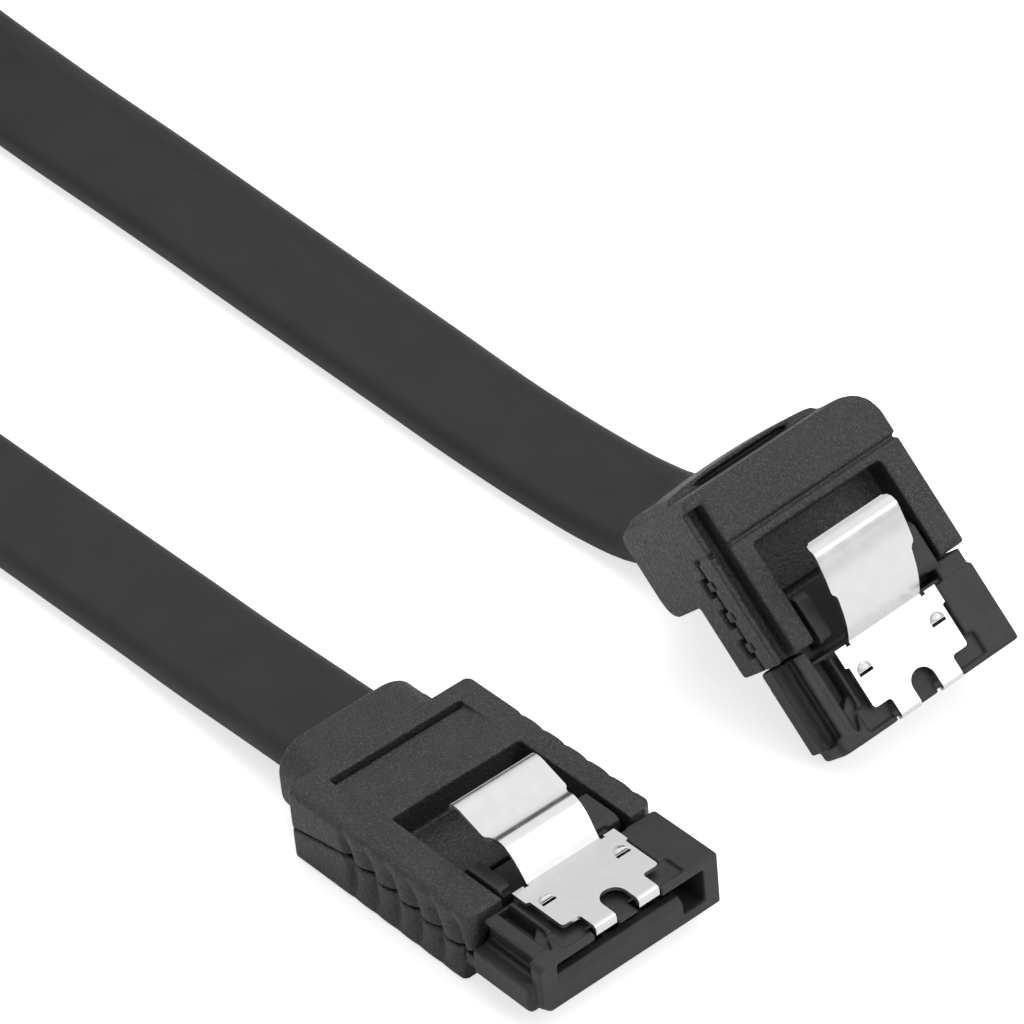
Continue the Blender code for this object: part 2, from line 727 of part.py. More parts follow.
def angle_hood(finish, plug):
    across = (-HOOD_HALF, HOOD_HALF)
    body = solid("angle_hood_body", prism(angle_side_view(), "Y", across), finish, plug)
    keep(body, prism(angle_plan(), "Z", (SPOUT_BOTTOM - 1, HOOD_TOP + 1)))
    cavity = (-CAVITY_HALF, CAVITY_HALF)
    cut(body, box((-TONGUE_LENGTH - CLEARANCE, 0.0), cavity, (CAVITY_FLOOR, HOOD_TOP)))
    cut(body, prism(rebate(), "X", (-REBATE_BACK, -ANGLE_SEAM + 1)))
    socket = [(-SPOUT_MIDDLE + z, y) for y, z in lead_section(CLEARANCE)]
    cut(body, prism(socket, "Z", (SPOUT_BOTTOM - 1, SPOUT_BOTTOM + SOCKET_DEPTH)))
    low = ANGLE_SPLIT + CLEARANCE / 2
    front = (-ANGLE_SEAM + CLEARANCE / 2, -ANGLE_FRONT)
    cover_side = [
        (front[0], low),
        (front[1], low),
        (front[1], HOOD_TOP - EDGE),
        (front[1] - EDGE, HOOD_TOP),
        (front[0], HOOD_TOP),
    ]
    cover = solid("angle_hood_cover", prism(cover_side, "Y", across), finish, plug)
    window = (WINDOW_LEFT, WINDOW_RIGHT)
    cut(cover, box((-ANGLE_WINDOW_BACK, 0.0), window, (ANGLE_FLOOR, HOOD_TOP + 1)))
    cut(cover, box((-TONGUE_LENGTH - CLEARANCE, 0.0), cavity, (CAVITY_FLOOR, CAVITY_TOP)))
    cut(cover, prism(rebate(), "X", (-REBATE_BACK, 0.0)))
    for place in clip_places():
        for side in (-1, 1):
            outer = side * (HOOD_HALF - EDGE / 2)
            inner = side * (HOOD_HALF - CLIP_DEPTH)
            reach = sorted((outer, inner))
            along = (place - CLIP_WIDTH / 2, place + CLIP_WIDTH / 2)
            join(cover, box(along, reach, (ANGLE_SPLIT - CLIP_DROP, low + EDGE)))
            pocket = (along[0] - CLEARANCE, along[1] + CLEARANCE)
            deep = sorted((side * (HOOD_HALF + 1), side * (HOOD_HALF - CLIP_DEPTH - CLEARANCE)))
            cut(body, box(pocket, deep, (ANGLE_SPLIT - CLIP_DROP - CLEARANCE, low + EDGE)))


# Lead


def lead(name, line, finish, parent):
    """A flat tube with round edges along a route, whose roll is 0 where the lead lies flat."""
    curve = bpy.data.curves.new(name, "CURVE")
    curve.dimensions = "3D"
    curve.twist_mode = "Z_UP"
    curve.bevel_depth = LEAD_THICKNESS / 2 * MM
    curve.bevel_resolution = 2
    curve.extrude = (LEAD_WIDTH - LEAD_THICKNESS) / 2 * MM
    curve.use_fill_caps = True
    curve.materials.append(finish)
    spline = curve.splines.new("POLY")
    spline.points.add(len(line) - 1)
    for point, (x, y, z, roll) in zip(spline.points, line):
        point.co = (x * MM, y * MM, z * MM, 1.0)
        point.tilt = math.radians(90.0 - roll)
    made = bpy.data.objects.new(name, curve)
    bpy.context.collection.objects.link(made)
    made.parent = parent
    return made


def lying(x, y, roll):
    """A point of the route where the lead lies on the surface, rolled by so many degrees."""
    half = LEAD_THICKNESS / 2
    height = half + (LEAD_WIDTH / 2 - half) * abs(math.sin(math.radians(roll)))
    return (x, y, height, roll)


def loop_points(start, stop, steps):
    """The round part of the loop, where the lead stands on its edge."""
    turn = arc(LOOP_CENTRE, LOOP_RADIUS, start, stop, steps)
    return [lying(x, y, 90.0) for x, y in turn]


def near_route():
    """From the straight plug back to the mouth of the loop."""
    start = -COLLAR_BACK + SOCKET_DEPTH - CLEARANCE
    return [
        (start, 0.0, SOCKET_HEIGHT, 0.0),
        (-26.5, 0.0, SOCKET_HEIGHT - 0.05, 0.0),
        (-31.0, 0.15, 2.1, 0.0),
        (-37.0, 0.35, 1.6, 0.3),
        (-44.0, 0.55, 1.25, 0.7),
        lying(-52.0, 0.5, 1.2),
        lying(-60.0, 0.4, 1.8),
        lying(-70.0, 0.3, 3.0),
        lying(-82.0, -0.2, 9.0),
        lying(-94.0, -1.0, 20.0),
        lying(-106.0, -2.3, 36.0),
        lying(-118.0, -4.4, 54.0),
        lying(-131.0, -7.4, 72.0),
        lying(-145.0, -10.4, 85.0),
        lying(-160.0, -13.4, 90.0),
        *loop_points(-LOOP_MOUTH, -LOOP_MOUTH - 4, 1),
    ]


def loop_route():
    length = math.radians(360 - 2 * LOOP_MOUTH - 8) * LOOP_RADIUS
    return loop_points(-LOOP_MOUTH - 4, LOOP_MOUTH + 4 - 360, round(length / LEAD_STEP))


def far_route(plug_matrix):
    """From the loop to the right-angle plug, where the lead climbs into the spout."""
    inside = (-SPOUT_MIDDLE, 0.0, SPOUT_BOTTOM + SOCKET_DEPTH - CLEARANCE)
    mouth = (-SPOUT_MIDDLE, 0.0, SPOUT_BOTTOM)
    below = (-SPOUT_MIDDLE, 0.0, SPOUT_BOTTOM - 1.5)
    ends = [(*(plug_matrix @ Vector(p)), 169.8) for p in (below, mouth, inside)]
    return [
        *loop_points(LOOP_MOUTH + 4 - 360, LOOP_MOUTH - 360, 1),
        lying(-162.0, 41.4, 90.0),
        lying(-147.0, 37.6, 94.0),
        lying(-132.0, 33.7, 104.0),
        lying(-119.0, 30.8, 121.0),
        lying(-107.0, 29.0, 140.0),
        lying(-95.0, 28.5, 152.0),
        lying(-80.0, 28.3, 161.0),
        lying(-65.0, 27.9, 167.0),
        lying(-52.0, 27.55, 171.3),
        lying(-43.0, 27.3, 174.0),
        lying(-36.5, 27.3, 174.0),
        (-31.5, 27.4, 1.6, 173.0),
        (-28.0, 27.5, 2.1, 172.0),
        (-25.0, 27.5, 3.35, 170.5),
        *ends,
    ]


def middle(things):
    """The middle of the box around these sub-parts, in X and Y."""
    bpy.context.view_layer.update()
    graph = bpy.context.evaluated_depsgraph_get()
    points = []
    for thing in things:
        mesh = thing.evaluated_get(graph).to_mesh()
        points += [thing.matrix_world @ vertex.co for vertex in mesh.vertices]
    points = np.array(points)
    return (points.min(axis=0) + points.max(axis=0))[:2] / 2


def build():
    clear_scene()
    hood_plastic = material("hood_plastic", (0.07, 0.07, 0.072), 0.62)
    nose_plastic = material("nose_plastic", (0.055, 0.055, 0.057), 0.45)
    steel = material("spring_steel", (0.78, 0.78, 0.79), 0.25, 1.0)
    gold = material("contact_gold", (0.83, 0.62, 0.26), 0.28, 1.0)
    jacket = material("jacket", (0.045, 0.045, 0.047), 0.5)

    table = empty("cable_assembly")
    straight = empty("straight_plug", parent=table)
    turn = Matrix.Rotation(math.radians(ANGLE_YAW), 3, "Z")
    turn = turn @ Matrix.Rotation(math.radians(ANGLE_LEAN), 3, "X")
    turn = turn @ Matrix.Rotation(math.radians(ANGLE_TILT), 3, "Y")
    corners = [Vector((0.0, y, z)) for y, z in flange_section(EDGE / 2)]
    corners += [Vector((-EDGE, y, z)) for y, z in flange_section()]
    lift = -min((turn @ corner).z for corner in corners)
    place = (*ANGLE_PLACE, lift)
    angle = empty("angle_plug", place, turn.to_euler(), table)
    matrix = Matrix.Translation(place) @ turn.to_4x4()

    plugs = (("straight", straight, STRAIGHT_CREST), ("angle", angle, ANGLE_CREST))
    for prefix, plug, crest in plugs:
        housing(f"{prefix}_housing", nose_plastic, plug)
        latch(f"{prefix}_latch", crest, steel, plug)
        contacts(prefix, gold, plug)
    straight_hood(hood_plastic, straight)
    angle_hood(hood_plastic, angle)
    rigid = [thing for thing in bpy.data.objects if thing.type == "MESH" and not thing.hide_render]
    table.location.xy = -middle(rigid)

    gap = CLEARANCE / 2
    near = trimmed(smooth_curve(near_route(), LEAD_STEP), 0.0, gap)
    loop = trimmed(loop_route(), gap, gap)
    far = trimmed(smooth_curve(far_route(matrix), LEAD_STEP), gap, 0.0)
    lead("lead_near", near, jacket, table)
    lead("lead_loop", loop, jacket, table)
    lead("lead_far", far, jacket, table)


def trimmed(line, before, after):
    """A route with its first and last points drawn in by these lengths."""
    line = np.array(line, float)
    for end, inner, amount in ((0, 1, before), (-1, -2, after)):
        step = line[inner] - line[end]
        line[end] += step * amount / np.linalg.norm(step[:3])
    return line


build()
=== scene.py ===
# A flat data cable with a latching plug on each end, one straight and one right-angled.
import math

import bmesh
import bpy
import numpy as np
from mathutils import Matrix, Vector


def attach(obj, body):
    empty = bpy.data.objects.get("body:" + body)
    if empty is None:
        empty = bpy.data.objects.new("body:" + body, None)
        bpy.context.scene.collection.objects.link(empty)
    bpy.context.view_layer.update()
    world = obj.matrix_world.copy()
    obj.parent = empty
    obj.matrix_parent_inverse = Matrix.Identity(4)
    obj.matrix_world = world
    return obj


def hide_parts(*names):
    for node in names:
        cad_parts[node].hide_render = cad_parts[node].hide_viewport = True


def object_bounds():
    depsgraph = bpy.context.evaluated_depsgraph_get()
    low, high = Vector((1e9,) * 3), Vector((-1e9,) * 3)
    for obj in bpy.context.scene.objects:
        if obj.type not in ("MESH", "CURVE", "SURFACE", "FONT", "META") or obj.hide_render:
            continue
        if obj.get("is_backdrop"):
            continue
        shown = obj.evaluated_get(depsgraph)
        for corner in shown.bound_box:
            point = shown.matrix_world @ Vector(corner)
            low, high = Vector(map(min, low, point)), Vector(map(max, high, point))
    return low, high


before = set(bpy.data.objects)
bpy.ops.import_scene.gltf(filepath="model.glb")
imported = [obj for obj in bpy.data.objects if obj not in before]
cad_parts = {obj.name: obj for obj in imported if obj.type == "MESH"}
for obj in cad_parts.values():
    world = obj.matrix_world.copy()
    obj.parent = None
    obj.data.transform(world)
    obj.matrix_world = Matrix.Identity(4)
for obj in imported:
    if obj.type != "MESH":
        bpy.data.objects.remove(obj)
solid_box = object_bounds()

# Camera: a long lens looking down on both plugs, with the cable running off past the left edge.
camera_data = bpy.data.cameras.new("camera")
camera_data.lens = 182.8125
camera_data.sensor_width = 36.0
camera_data.clip_start = 0.01
camera = bpy.data.objects.new("camera", camera_data)
bpy.context.scene.collection.objects.link(camera)
camera.matrix_world = Matrix(
    (
        (0.650677, -0.424024, 0.629939, 0.180791),
        (0.755275, 0.447265, -0.479076, -0.146837),
        (-0.07861, 0.787501, 0.61128, 0.199539),
        (0.0, 0.0, 0.0, 1.0),
    )
)
bpy.context.scene.camera = camera
bpy.context.scene.view_settings.view_transform = "Standard"

# Studio: a white sweep and a white surround, with two soft lamps. Gloss sees the surround itself,
# greyest a third of the way up, and a dark card beyond the plugs that makes the steel's band.
world = bpy.data.worlds.new("studio")
bpy.context.scene.world = world
world.use_nodes = True
tree = world.node_tree
link = tree.links.new
rays = tree.nodes.new("ShaderNodeLightPath")
height = tree.nodes.new("ShaderNodeSeparateXYZ")
place = tree.nodes.new("ShaderNodeTexCoord")
link(place.outputs["Generated"], height.inputs[0])
walls = tree.nodes.new("ShaderNodeValToRGB")
stops = walls.color_ramp.elements
stops[0].color = (0.85, 0.85, 0.85, 1.0)
stops[1].position = 0.85
for rise, shade in ((0.3, 0.6), (0.5, 0.64), (0.61, 0.78), (0.75, 0.96)):
    stops.new(rise).color = (shade, shade, shade, 1.0)
link(height.outputs["Z"], walls.inputs[0])
facing = tree.nodes.new("ShaderNodeVectorMath")
facing.operation = "DOT_PRODUCT"
TOWARDS_CARD = (-0.8, 0.48, 0.36)
facing.inputs[1].default_value = TOWARDS_CARD
link(place.outputs["Generated"], facing.inputs[0])
card = tree.nodes.new("ShaderNodeMapRange")
card.interpolation_type = "SMOOTHSTEP"
card.inputs["From Min"].default_value = 0.96
card.inputs["From Max"].default_value = 0.988
card.inputs["To Min"].default_value = 1.0
card.inputs["To Max"].default_value = 0.1
link(facing.outputs["Value"], card.inputs["Value"])
dimmed = tree.nodes.new("ShaderNodeMath")
dimmed.operation = "MULTIPLY"
link(walls.outputs[0], dimmed.inputs[0])
link(card.outputs["Result"], dimmed.inputs[1])
clear = tree.nodes.new("ShaderNodeMath")
clear.operation = "MAXIMUM"
link(rays.outputs["Is Camera Ray"], clear.inputs[0])
link(rays.outputs["Is Transmission Ray"], clear.inputs[1])
surround = tree.nodes["Background"]
surround.inputs["Color"].default_value = (1.0, 1.0, 1.0, 1.0)
level = tree.nodes.new("ShaderNodeMix")
level.inputs[3].default_value = 1.0
link(clear.outputs[0], level.inputs[0])
glossy = tree.nodes.new("ShaderNodeMix")
side_fade = tree.nodes.new("ShaderNodeMapRange")
side_fade.inputs["From Min"].default_value = -1.0
side_fade.inputs["From Max"].default_value = 0.6
side_fade.inputs["To Min"].default_value = 0.12
side_fade.inputs["To Max"].default_value = 0.66
link(height.outputs["Y"], side_fade.inputs["Value"])
link(side_fade.outputs["Result"], glossy.inputs[2])
link(rays.outputs["Is Glossy Ray"], glossy.inputs[0])
link(dimmed.outputs[0], glossy.inputs[3])
link(glossy.outputs[0], level.inputs[2])
link(level.outputs[0], surround.inputs["Strength"])

floor_mesh = bpy.data.meshes.new("floor")
floor_mesh.from_pydata([(-2, -2, 0), (2, -2, 0), (2, 2, 0), (-2, 2, 0)], [], [(0, 1, 2, 3)])
floor = bpy.data.objects.new("floor", floor_mesh)
bpy.context.scene.collection.objects.link(floor)
floor_finish = bpy.data.materials.new("white_sweep")
floor_finish.use_nodes = True
tree = floor_finish.node_tree
link = tree.links.new
paper = tree.nodes["Principled BSDF"]
paper.inputs["Base Color"].default_value = (0.86, 0.86, 0.86, 1.0)
paper.inputs["Roughness"].default_value = 0.9
paper.inputs["Specular IOR Level"].default_value = 0.1
rays = tree.nodes.new("ShaderNodeLightPath")
glow = tree.nodes.new("ShaderNodeEmission")
mirrored = tree.nodes.new("ShaderNodeMath")
mirrored.operation = "MULTIPLY"
mirrored.inputs[1].default_value = 0.2
link(rays.outputs["Is Glossy Ray"], mirrored.inputs[0])
shown = tree.nodes.new("ShaderNodeMath")
shown.operation = "MULTIPLY_ADD"
shown.inputs[1].default_value = 0.7
link(rays.outputs["Is Camera Ray"], shown.inputs[0])
link(mirrored.outputs[0], shown.inputs[2])
link(shown.outputs[0], glow.inputs["Strength"])
both = tree.nodes.new("ShaderNodeAddShader")
link(paper.outputs[0], both.inputs[0])
link(glow.outputs[0], both.inputs[1])
link(both.outputs[0], tree.nodes["Material Output"].inputs["Surface"])
floor_mesh.materials.append(floor_finish)
floor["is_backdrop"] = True


def lamp(name, power, size, place):
    """A square soft lamp at a place, facing the plugs at the origin."""
    data = bpy.data.lights.new(name, "AREA")
    data.energy = power
    data.size = size
    made = bpy.data.objects.new(name, data)
    bpy.context.scene.collection.objects.link(made)
    made.location = place
    made.rotation_euler = made.location.to_track_quat("Z", "Y").to_euler()
    return made


overhead_box = lamp("overhead_box", 2.35, 0.62, (-0.12, 0.2, 0.68))
overhead_box.visible_glossy = False
lamp("right_box", 1.1, 0.55, (0.5, 0.24, 0.46))

# The two plugs: each has a frame of its own, with X out of its mouth and Z up through its latch.
# The straight one lies flat. The right-angle one is tipped forward on to its lower front edge.
STRAIGHT = Matrix.Translation((0.01245, -0.0135176, 0.0))
tip = Matrix.Rotation(math.radians(-4.5), 4, "Z") @ Matrix.Rotation(math.radians(7.4), 4, "X")
tip = tip @ Matrix.Rotation(math.radians(46.6), 4, "Y")
ANGLE = Matrix.Translation((0.0062602, 0.0132525, -0.000194)) @ tip

# Lead: one flat black jacket over two shielded pairs, extruded with round edges. It runs from the
# straight plug, turns on its edge round a wide loop, and lies flat again to the right-angle plug.
LEAD_HALF_WIDTH = 3.9
LEAD_HALF_THICKNESS = 1.15
LOOP_MIDDLE = np.array((-192.0, 14.0))
LOOP_RADIUS = 33.0
LOOP_START = -82.0
LOOP_END = -278.0


def lying(x, y, roll):
    """A point where the lead rests on the floor, with its roll in degrees: its height is half the
    thickness, plus the flat half of the width times the sine of the roll."""
    lift = (LEAD_HALF_WIDTH - LEAD_HALF_THICKNESS) * abs(math.sin(math.radians(roll)))
    return (x, y, LEAD_HALF_THICKNESS + lift, roll)


def round_loop(start, stop, count):
    """Points on the loop's circle between two angles, where the lead stands on its edge."""
    angles = np.radians(np.linspace(start, stop, count))
    ring = LOOP_MIDDLE + LOOP_RADIUS * np.stack([np.cos(angles), np.sin(angles)], axis=1)
    return [lying(x, y, 90.0) for x, y in ring]


def smooth_route(points, spacing):
    """Cubic Hermite curve through the points, with slopes from their neighbours, evenly spaced."""
    points = np.array(points, float)
    steps = np.linalg.norm(np.diff(points[:, :3], axis=0), axis=1)
    knots = np.concatenate([[0.0], np.cumsum(steps)])
    slopes = np.gradient(points, knots, axis=0)
    where = np.linspace(0.0, knots[-1], round(knots[-1] / spacing) + 1)
    span = np.clip(np.searchsorted(knots, where, side="right") - 1, 0, len(steps) - 1)
    width = steps[span][:, None]
    t = (where - knots[span])[:, None] / width
    ends = (2 * t**3 - 3 * t**2 + 1) * points[span] + (3 * t**2 - 2 * t**3) * points[span + 1]
    bends = (t**3 - 2 * t**2 + t) * slopes[span] + (t**3 - t**2) * slopes[span + 1]
    return ends + bends * width


near_points = [
    (-23.7, 0.0, 2.5, 0.0),
    (-26.5, 0.0, 2.45, 0.0),
    (-31.0, 0.15, 2.1, 0.0),
    (-37.0, 0.35, 1.6, 0.3),
    (-44.0, 0.55, 1.25, 0.7),
    lying(-52.0, 0.5, 1.2),
    lying(-60.0, 0.4, 1.8),
    lying(-70.0, 0.3, 3.0),
    lying(-82.0, -0.2, 9.0),
    lying(-94.0, -1.0, 20.0),
    lying(-106.0, -2.3, 36.0),
    lying(-118.0, -4.4, 54.0),
    lying(-131.0, -7.4, 72.0),
    lying(-145.0, -10.4, 85.0),
    lying(-160.0, -13.4, 90.0),
    *round_loop(LOOP_START + 4.0, LOOP_START, 2),
]
SPOUT_X = -0.01475
in_spout = STRAIGHT.inverted() @ ANGLE
spout_points = [
    in_spout @ Matrix.Translation((SPOUT_X, 0.0, z)) for z in (-0.0073, -0.0058, -0.0046)
]
far_points = [
    *round_loop(LOOP_END, LOOP_END - 4.0, 2),
    lying(-162.0, 41.4, 90.0),
    lying(-147.0, 37.6, 94.0),
    lying(-132.0, 33.7, 104.0),
    lying(-119.0, 30.8, 121.0),
    lying(-107.0, 29.0, 140.0),
    lying(-95.0, 28.5, 152.0),
    lying(-80.0, 28.3, 161.0),
    lying(-65.0, 27.9, 167.0),
    lying(-52.0, 27.55, 171.3),
    lying(-43.0, 27.3, 174.0),
    lying(-36.5, 27.3, 174.0),
    (-31.5, 27.4, 1.6, 173.0),
    (-28.0, 27.5, 2.1, 172.0),
    (-25.0, 27.5, 3.35, 170.5),
    *((*(1000.0 * spot.translation), 169.8) for spot in spout_points),
]
near_run = smooth_route(near_points, 1.0)
far_run = smooth_route(far_points, 1.0)
route = np.vstack([near_run[:-1], round_loop(LOOP_START, LOOP_END, 114), far_run[1:]])
line = route[:, :3]
roll = np.radians(route[:, 3])[:, None]
along = np.gradient(line, axis=0)
along /= np.linalg.norm(along, axis=1)[:, None]
side = np.cross(along, (0.0, 0.0, 1.0))
side /= np.linalg.norm(side, axis=1)[:, None]
upright = np.cross(side, along)
across = np.cos(roll) * side + np.sin(roll) * upright
through = np.cos(roll) * upright - np.sin(roll) * side


def flat_section(half_width, half_thickness, bend_steps, flat_steps):
    """Outline of a flat strip with two half-round edges, as (across, through) points."""
    reach = half_width - half_thickness
    bend = np.radians(np.linspace(-90.0, 90.0, bend_steps))
    right = np.stack([reach + half_thickness * np.cos(bend), half_thickness * np.sin(bend)], axis=1)
    top = np.linspace(reach, -reach, flat_steps)[1:-1]
    flat = np.stack([top, np.full_like(top, half_thickness)], axis=1)
    return np.vstack([right, flat, -right, -flat])


def skin(name, rings):
    """A closed mesh from rings of points: each is joined to the next, and both ends are capped."""
    rings = np.asarray(rings, float)
    count, around = rings.shape[:2]
    i, j = np.meshgrid(np.arange(count - 1), np.arange(around), indexing="ij")
    k = (j + 1) % around
    near, far = i * around, (i + 1) * around
    quads = np.stack([near + j, near + k, far + k, far + j], axis=-1)
    faces = quads.reshape(-1, 4).tolist()
    faces.append(list(range(around)[::-1]))
    faces.append(list(range((count - 1) * around, count * around)))
    mesh = bpy.data.meshes.new(name)
    mesh.from_pydata(rings.reshape(-1, 3).tolist(), [], faces)
    whole = bmesh.new()
    whole.from_mesh(mesh)
    bmesh.ops.recalc_face_normals(whole, faces=whole.faces)
    whole.to_mesh(mesh)
    whole.free()
    return mesh


section = flat_section(LEAD_HALF_WIDTH, LEAD_HALF_THICKNESS, 13, 9)
rings = line[:, None] + section[:, 0, None] * across[:, None]
rings = rings + section[:, 1, None] * through[:, None]
lead_mesh = skin("lead", rings)
lead_mesh.transform(STRAIGHT @ Matrix.Diagonal((0.001, 0.001, 0.001, 1.0)))
lead_mesh.shade_smooth()
travel = np.concatenate([[0.0], np.cumsum(np.linalg.norm(np.diff(line, axis=0), axis=1))])
turns = np.concatenate([[0.0], np.cumsum(np.linalg.norm(np.diff(section, axis=0), axis=1))])
corner = np.empty(len(lead_mesh.loops), np.int32)
lead_mesh.loops.foreach_get("vertex_index", corner)
station, spot = np.divmod(corner, len(section))
layout = lead_mesh.uv_layers.new(name="along_and_round")
layout.data.foreach_set("uv", np.stack([travel[station], turns[spot]], axis=1).ravel())
lead = bpy.data.objects.new("lead", lead_mesh)
bpy.context.scene.collection.objects.link(lead)


def finish(name, colour, roughness, metallic=0.0):
    """A new material with its constant values on the shader, and its nodes to build on."""
    made = bpy.data.materials.new(name)
    made.use_nodes = True
    shader = made.node_tree.nodes["Principled BSDF"]
    shader.inputs["Base Color"].default_value = (*colour, 1.0)
    shader.inputs["Roughness"].default_value = roughness
    shader.inputs["Metallic"].default_value = metallic
    return made, made.node_tree, shader


def noise(tree, where, scale, detail=2.0, roughness=0.5):
    """A noise pattern on these coordinates, so many waves to their unit."""
    made = tree.nodes.new("ShaderNodeTexNoise")
    made.inputs["Scale"].default_value = scale
    made.inputs["Detail"].default_value = detail
    made.inputs["Roughness"].default_value = roughness
    tree.links.new(where, made.inputs["Vector"])
    return made.outputs["Fac"]


def spread(tree, value, low, high, between=(0.3, 0.7)):
    """A pattern's middle values carried to the range from low to high."""
    made = tree.nodes.new("ShaderNodeMapRange")
    made.inputs["From Min"].default_value = between[0]
    made.inputs["From Max"].default_value = between[1]
    made.inputs["To Min"].default_value = low
    made.inputs["To Max"].default_value = high
    tree.links.new(value, made.inputs["Value"])
    return made.outputs["Result"]


def tint(tree, value, dark, light):
    """A colour from dark to light as the value goes from 0 to 1."""
    made = tree.nodes.new("ShaderNodeMix")
    made.data_type = "RGBA"
    made.inputs[6].default_value = (*dark, 1.0)
    made.inputs[7].default_value = (*light, 1.0)
    tree.links.new(value, made.inputs[0])
    return made.outputs[2]


def relief(tree, value, depth, strength=1.0, over=None):
    """A bump whose full height, in metres, is depth, over another bump's normals if one is given."""
    made = tree.nodes.new("ShaderNodeBump")
    made.inputs["Distance"].default_value = depth
    made.inputs["Strength"].default_value = strength
    tree.links.new(value, made.inputs["Height"])
    if over is not None:
        tree.links.new(over, made.inputs["Normal"])
    return made.outputs["Normal"]


jacket, tree, shader = finish("black_pvc_jacket", (0.024, 0.024, 0.025), 0.5)
shader.inputs["Specular IOR Level"].default_value = 0.35
unrolled = tree.nodes.new("ShaderNodeUVMap")
unrolled.uv_map = "along_and_round"
drawn = tree.nodes.new("ShaderNodeMapping")
drawn.inputs["Scale"].default_value = (0.06, 1.0, 1.0)
tree.links.new(unrolled.outputs[0], drawn.inputs["Vector"])
streaks = noise(tree, drawn.outputs[0], 1.6, 3.0)
mottle = noise(tree, unrolled.outputs[0], 0.22, 3.0)
skin_grain = noise(tree, unrolled.outputs[0], 7.0, 3.0)
blacks = tint(tree, spread(tree, mottle, 0.0, 1.0), (0.021, 0.021, 0.022), (0.028, 0.028, 0.029))
tree.links.new(blacks, shader.inputs["Base Color"])
tree.links.new(spread(tree, skin_grain, 0.44, 0.6), shader.inputs["Roughness"])
waves = relief(tree, streaks, 0.00004, 0.5)
tree.links.new(relief(tree, skin_grain, 0.000012, 0.6, waves), shader.inputs["Normal"])
lead_mesh.materials.append(jacket)
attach(lead, "cable")
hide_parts("lead_near", "lead_loop", "lead_far")

# Housings: the nylon inserts at the mouths, smooth and black, with a keyed slot, a sunken bed for the
# latch and a tongue that the hood closes on. Each is skinned again so that its edges are moulded ones.
TO_METRES = Matrix.Diagonal((0.001, 0.001, 0.001, 1.0))


def moulding(name, nodes, plug, voxel, rounds, fillers=(), cuts=()):
    """The nodes' forms, brought level in millimetres, joined with the fillers, skinned by voxels
    of the given size, cut, and relaxed so many rounds, each of which makes the edges rounder."""
    whole = bmesh.new()
    level = (plug @ TO_METRES).inverted()
    for node in nodes:
        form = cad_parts[node].data.copy()
        form.transform(level)
        whole.from_mesh(form)
        bpy.data.meshes.remove(form)
    bmesh.ops.remove_doubles(whole, verts=whole.verts, dist=0.001)
    for filler in fillers:
        whole.from_mesh(filler)
    mesh = bpy.data.meshes.new(name)
    whole.to_mesh(mesh)
    whole.free()
    mesh.materials.clear()
    made = bpy.data.objects.new(name, mesh)
    bpy.context.scene.collection.objects.link(made)
    skinned = made.modifiers.new("skin", "REMESH")
    skinned.mode = "VOXEL"
    skinned.voxel_size = voxel
    skinned.adaptivity = 0.0
    tools = []
    for cut in cuts:
        tools.append(bpy.data.objects.new("tool", cut))
        bpy.context.scene.collection.objects.link(tools[-1])
        step = made.modifiers.new("cut", "BOOLEAN")
        step.operation = "DIFFERENCE"
        step.object = tools[-1]
    if cuts:
        again = made.modifiers.new("skin_again", "REMESH")
        again.mode = "VOXEL"
        again.voxel_size = voxel
        again.adaptivity = 0.0
    relaxed = made.modifiers.new("relax", "SMOOTH")
    relaxed.factor = 0.5
    relaxed.iterations = rounds
    graph = bpy.context.evaluated_depsgraph_get()
    final = bpy.data.meshes.new_from_object(made.evaluated_get(graph))
    final.transform(plug @ TO_METRES)
    final.shade_smooth()
    made.modifiers.clear()
    made.data = final
    for tool in tools:
        bpy.data.objects.remove(tool)
    return made


def block(low, high):
    """A box between two corners, as two rings of four points."""
    x = np.array((low[0], high[0], high[0], low[0]))
    y = np.array((low[1], low[1], high[1], high[1]))
    rings = np.stack([np.stack([x, y, np.full(4, z)], axis=1) for z in (low[2], high[2])])
    return skin("block", rings)


def upright_prism(outline, low, high):
    """A prism between two heights over an outline seen from above."""
    rings = np.zeros((2, len(outline), 3))
    rings[:, :, :2] = outline
    rings[:, :, 2] = ((low,), (high,))
    return skin("prism", rings)


def dress(piece, material, slot, body, *nodes):
    """Gives a piece its material and its body, and hides the nodes that it stands for. The slot is not
    used.
    """
    piece.data.materials.clear()
    piece.data.materials.append(material)
    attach(piece, body)
    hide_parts(*nodes)


nylon, tree, shader = finish("smooth_black_nylon", (0.034, 0.034, 0.035), 0.48)
shader.inputs["Specular IOR Level"].default_value = 0.4
place = tree.nodes.new("ShaderNodeTexCoord").outputs["Object"]
fine = noise(tree, place, 9000.0, 3.0)
broad = noise(tree, place, 700.0, 3.0)
blacks = tint(tree, spread(tree, broad, 0.0, 1.0), (0.03, 0.03, 0.031), (0.04, 0.04, 0.041))
tree.links.new(blacks, shader.inputs["Base Color"])
tree.links.new(spread(tree, fine, 0.4, 0.56), shader.inputs["Roughness"])
dented = relief(tree, broad, 0.00004, 0.5)
tree.links.new(relief(tree, fine, 0.000008, 0.7, dented), shader.inputs["Normal"])

